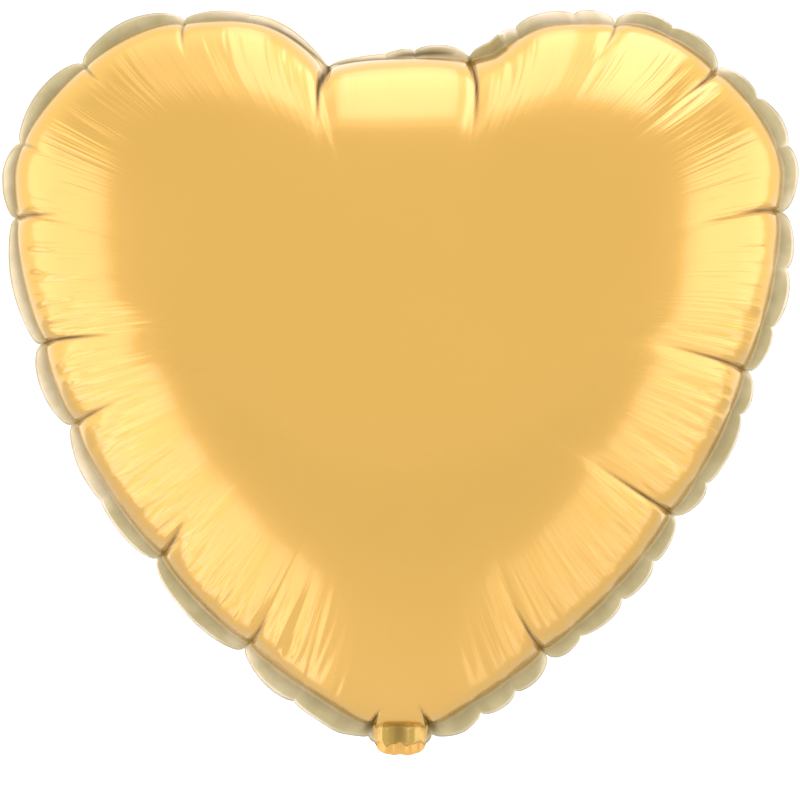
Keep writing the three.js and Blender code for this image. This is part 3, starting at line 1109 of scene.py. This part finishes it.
class BALLOON_OT_foils(bpy.types.Operator):
    """Make the front and back foil hearts"""

    bl_idname = "balloon.foils"
    bl_label = "Foil hearts"

    def execute(self, context):
        sizes = sizes_in_mm()
        rng = np.random.default_rng(SEED)
        heart = measure_heart(sizes, rng)
        material = foil_material(colours())
        heights = {name: sizes[name] * MM for name in RELIEFS}
        tree = relief_tree(RELIEFS)
        for name, node, side in (("front_foil", "front_panel", -1), ("back_foil", "back_panel", 1)):
            grid, film, moves, shade = foil_grid(sizes, heart, rng, side)
            grid[..., 2] += TIP_HEIGHT
            pole = grid[-1].mean(0)
            pole[1] = side * (max(abs(grid[-1, :, 1])) + 0.02)
            mesh = grid_mesh(name, grid, film, shade, flip=side > 0, pole=pole)
            piece = new_object(name, mesh)
            add_relief(piece, tree, moves, heights, material)
            add_wall(piece, sizes["film"] * MM)
            with_modifiers(piece)
            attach(piece, "balloon")
            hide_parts(node)
        return {"FINISHED"}


class BALLOON_OT_tail(bpy.types.Operator):
    """Make the tail's two foil plies"""

    bl_idname = "balloon.tail"
    bl_label = "Tail"

    def execute(self, context):
        sizes = sizes_in_mm()
        rng = np.random.default_rng(SEED + 1)
        make_strips(
            (("tail_front_foil", 1, "tail_front_ply"), ("tail_back_foil", -1, "tail_back_ply")),
            material=bpy.data.materials["gold_foil"],
            film=sizes["film"],
            widths=(sizes["tail_width"], sizes["tail_width"]),
            top=TAIL_TOP,
            length=sizes["tail_length"],
            lift=tail_lift(sizes, rng, TAIL_TOP - FOLD["pos_m"][2] / MM),
        )
        return {"FINISHED"}


class BALLOON_OT_valve(bpy.types.Operator):
    """Make the valve's two clear films"""

    bl_idname = "balloon.valve"
    bl_label = "Valve"

    def execute(self, context):
        sizes = sizes_in_mm()
        rng = np.random.default_rng(SEED + 2)
        make_strips(
            (
                ("valve_front", 1, "valve_front_film", "valve_mouth_front_film"),
                ("valve_back", -1, "valve_back_film", "valve_mouth_back_film"),
            ),
            material=film_material(colours()),
            film=sizes["film"],
            widths=(VALVE_WIDTH, sizes["tail_width"]),
            top=VALVE_TOP,
            length=sizes["tail_length"] - VALVE_SHORT_OF_END,
            lift=valve_lift(rng),
        )
        return {"FINISHED"}


class BALLOON_OT_stage(bpy.types.Operator):
    """Make the floor, the soft boxes and the camera"""

    bl_idname = "balloon.stage"
    bl_label = "Stage"

    def execute(self, context):
        values = colours()
        bpy.ops.mesh.primitive_plane_add(size=FLOOR_SIZE, location=(0, 0, FLOOR_HEIGHT))
        floor = context.object
        floor.name = "floor"
        floor.data.materials.append(plain_material("pale_floor", values["floor"], 0.7))

        world = bpy.data.worlds.new("studio")
        world.use_nodes = True
        context.scene.world = world
        studio = Tree(world.node_tree)
        direction = studio.node("ShaderNodeTexCoord").outputs["Generated"]
        backwards = studio.number(studio.node("ShaderNodeSeparateXYZ", None, {0: direction}), "Y")
        background = studio.tree.nodes["Background"]
        background.inputs["Color"].default_value = (1, 1, 1, 1)
        brightness = studio.ramp(backwards, 0.0, BEHIND, 1.0, values["backdrop"])
        studio.put(background.inputs["Strength"], brightness)

        boxes = [(*box, values["box_colour"]) for box in FAR_BOXES]
        boxes += [(*box, values["near_colour"]) for box in NEAR_BOXES]
        for name, degrees, distance, width, depth, behind_seam, share, colour in boxes:
            light = bpy.data.lights.new(name, "AREA")
            light.shape = "RECTANGLE"
            light.size = width
            light.size_y = depth
            light.color = colour[:3]
            light.energy = values["box_light"] * share * math.pi * width * depth
            angle = math.radians(degrees)
            outward = Vector((math.cos(angle), 0, math.sin(angle)))
            box = new_object(name, light)
            box.location = Vector((0, behind_seam, VIEW_HEIGHT)) + outward * distance
            box.rotation_euler = (0, math.pi / 2 - angle, 0)
            box.visible_camera = False

        lens = bpy.data.cameras.new("camera")
        lens.lens = LENS
        lens.sensor_width = SENSOR
        camera = new_object("camera", lens)
        camera.location = (VIEW_SIDE, -LENS / SENSOR * VIEW_WIDTH, VIEW_HEIGHT)
        camera.rotation_euler = (math.pi / 2, 0, 0)
        context.scene.camera = camera
        context.scene.view_settings.view_transform = "Standard"
        return {"FINISHED"}


class BALLOON_PT_panel(bpy.types.Panel):
    """Lists the operators and their settings"""

    bl_idname = "BALLOON_PT_panel"
    bl_label = "Heart foil balloon"
    bl_space_type = "VIEW_3D"
    bl_region_type = "UI"
    bl_category = "Balloon"

    def draw(self, context):
        for step in STEPS:
            self.layout.operator(step.bl_idname)
        for settings in (context.scene.balloon_sizes, context.scene.balloon_colours):
            for key in settings.__annotations__:
                self.layout.prop(settings, key)


STEPS = (BALLOON_OT_foils, BALLOON_OT_tail, BALLOON_OT_valve, BALLOON_OT_stage)
CLASSES = (BalloonSizes, BalloonColours, *STEPS, BALLOON_PT_panel)


def register():
    for cls in CLASSES:
        bpy.utils.register_class(cls)
    bpy.types.Scene.balloon_sizes = bpy.props.PointerProperty(type=BalloonSizes)
    bpy.types.Scene.balloon_colours = bpy.props.PointerProperty(type=BalloonColours)


def unregister():
    del bpy.types.Scene.balloon_colours
    del bpy.types.Scene.balloon_sizes
    for cls in reversed(CLASSES):
        bpy.utils.unregister_class(cls)


def main():
    register()
    bpy.ops.balloon.stage()
    bpy.ops.balloon.foils()
    bpy.ops.balloon.tail()
    bpy.ops.balloon.valve()


if __name__ == "__main__":
    main()
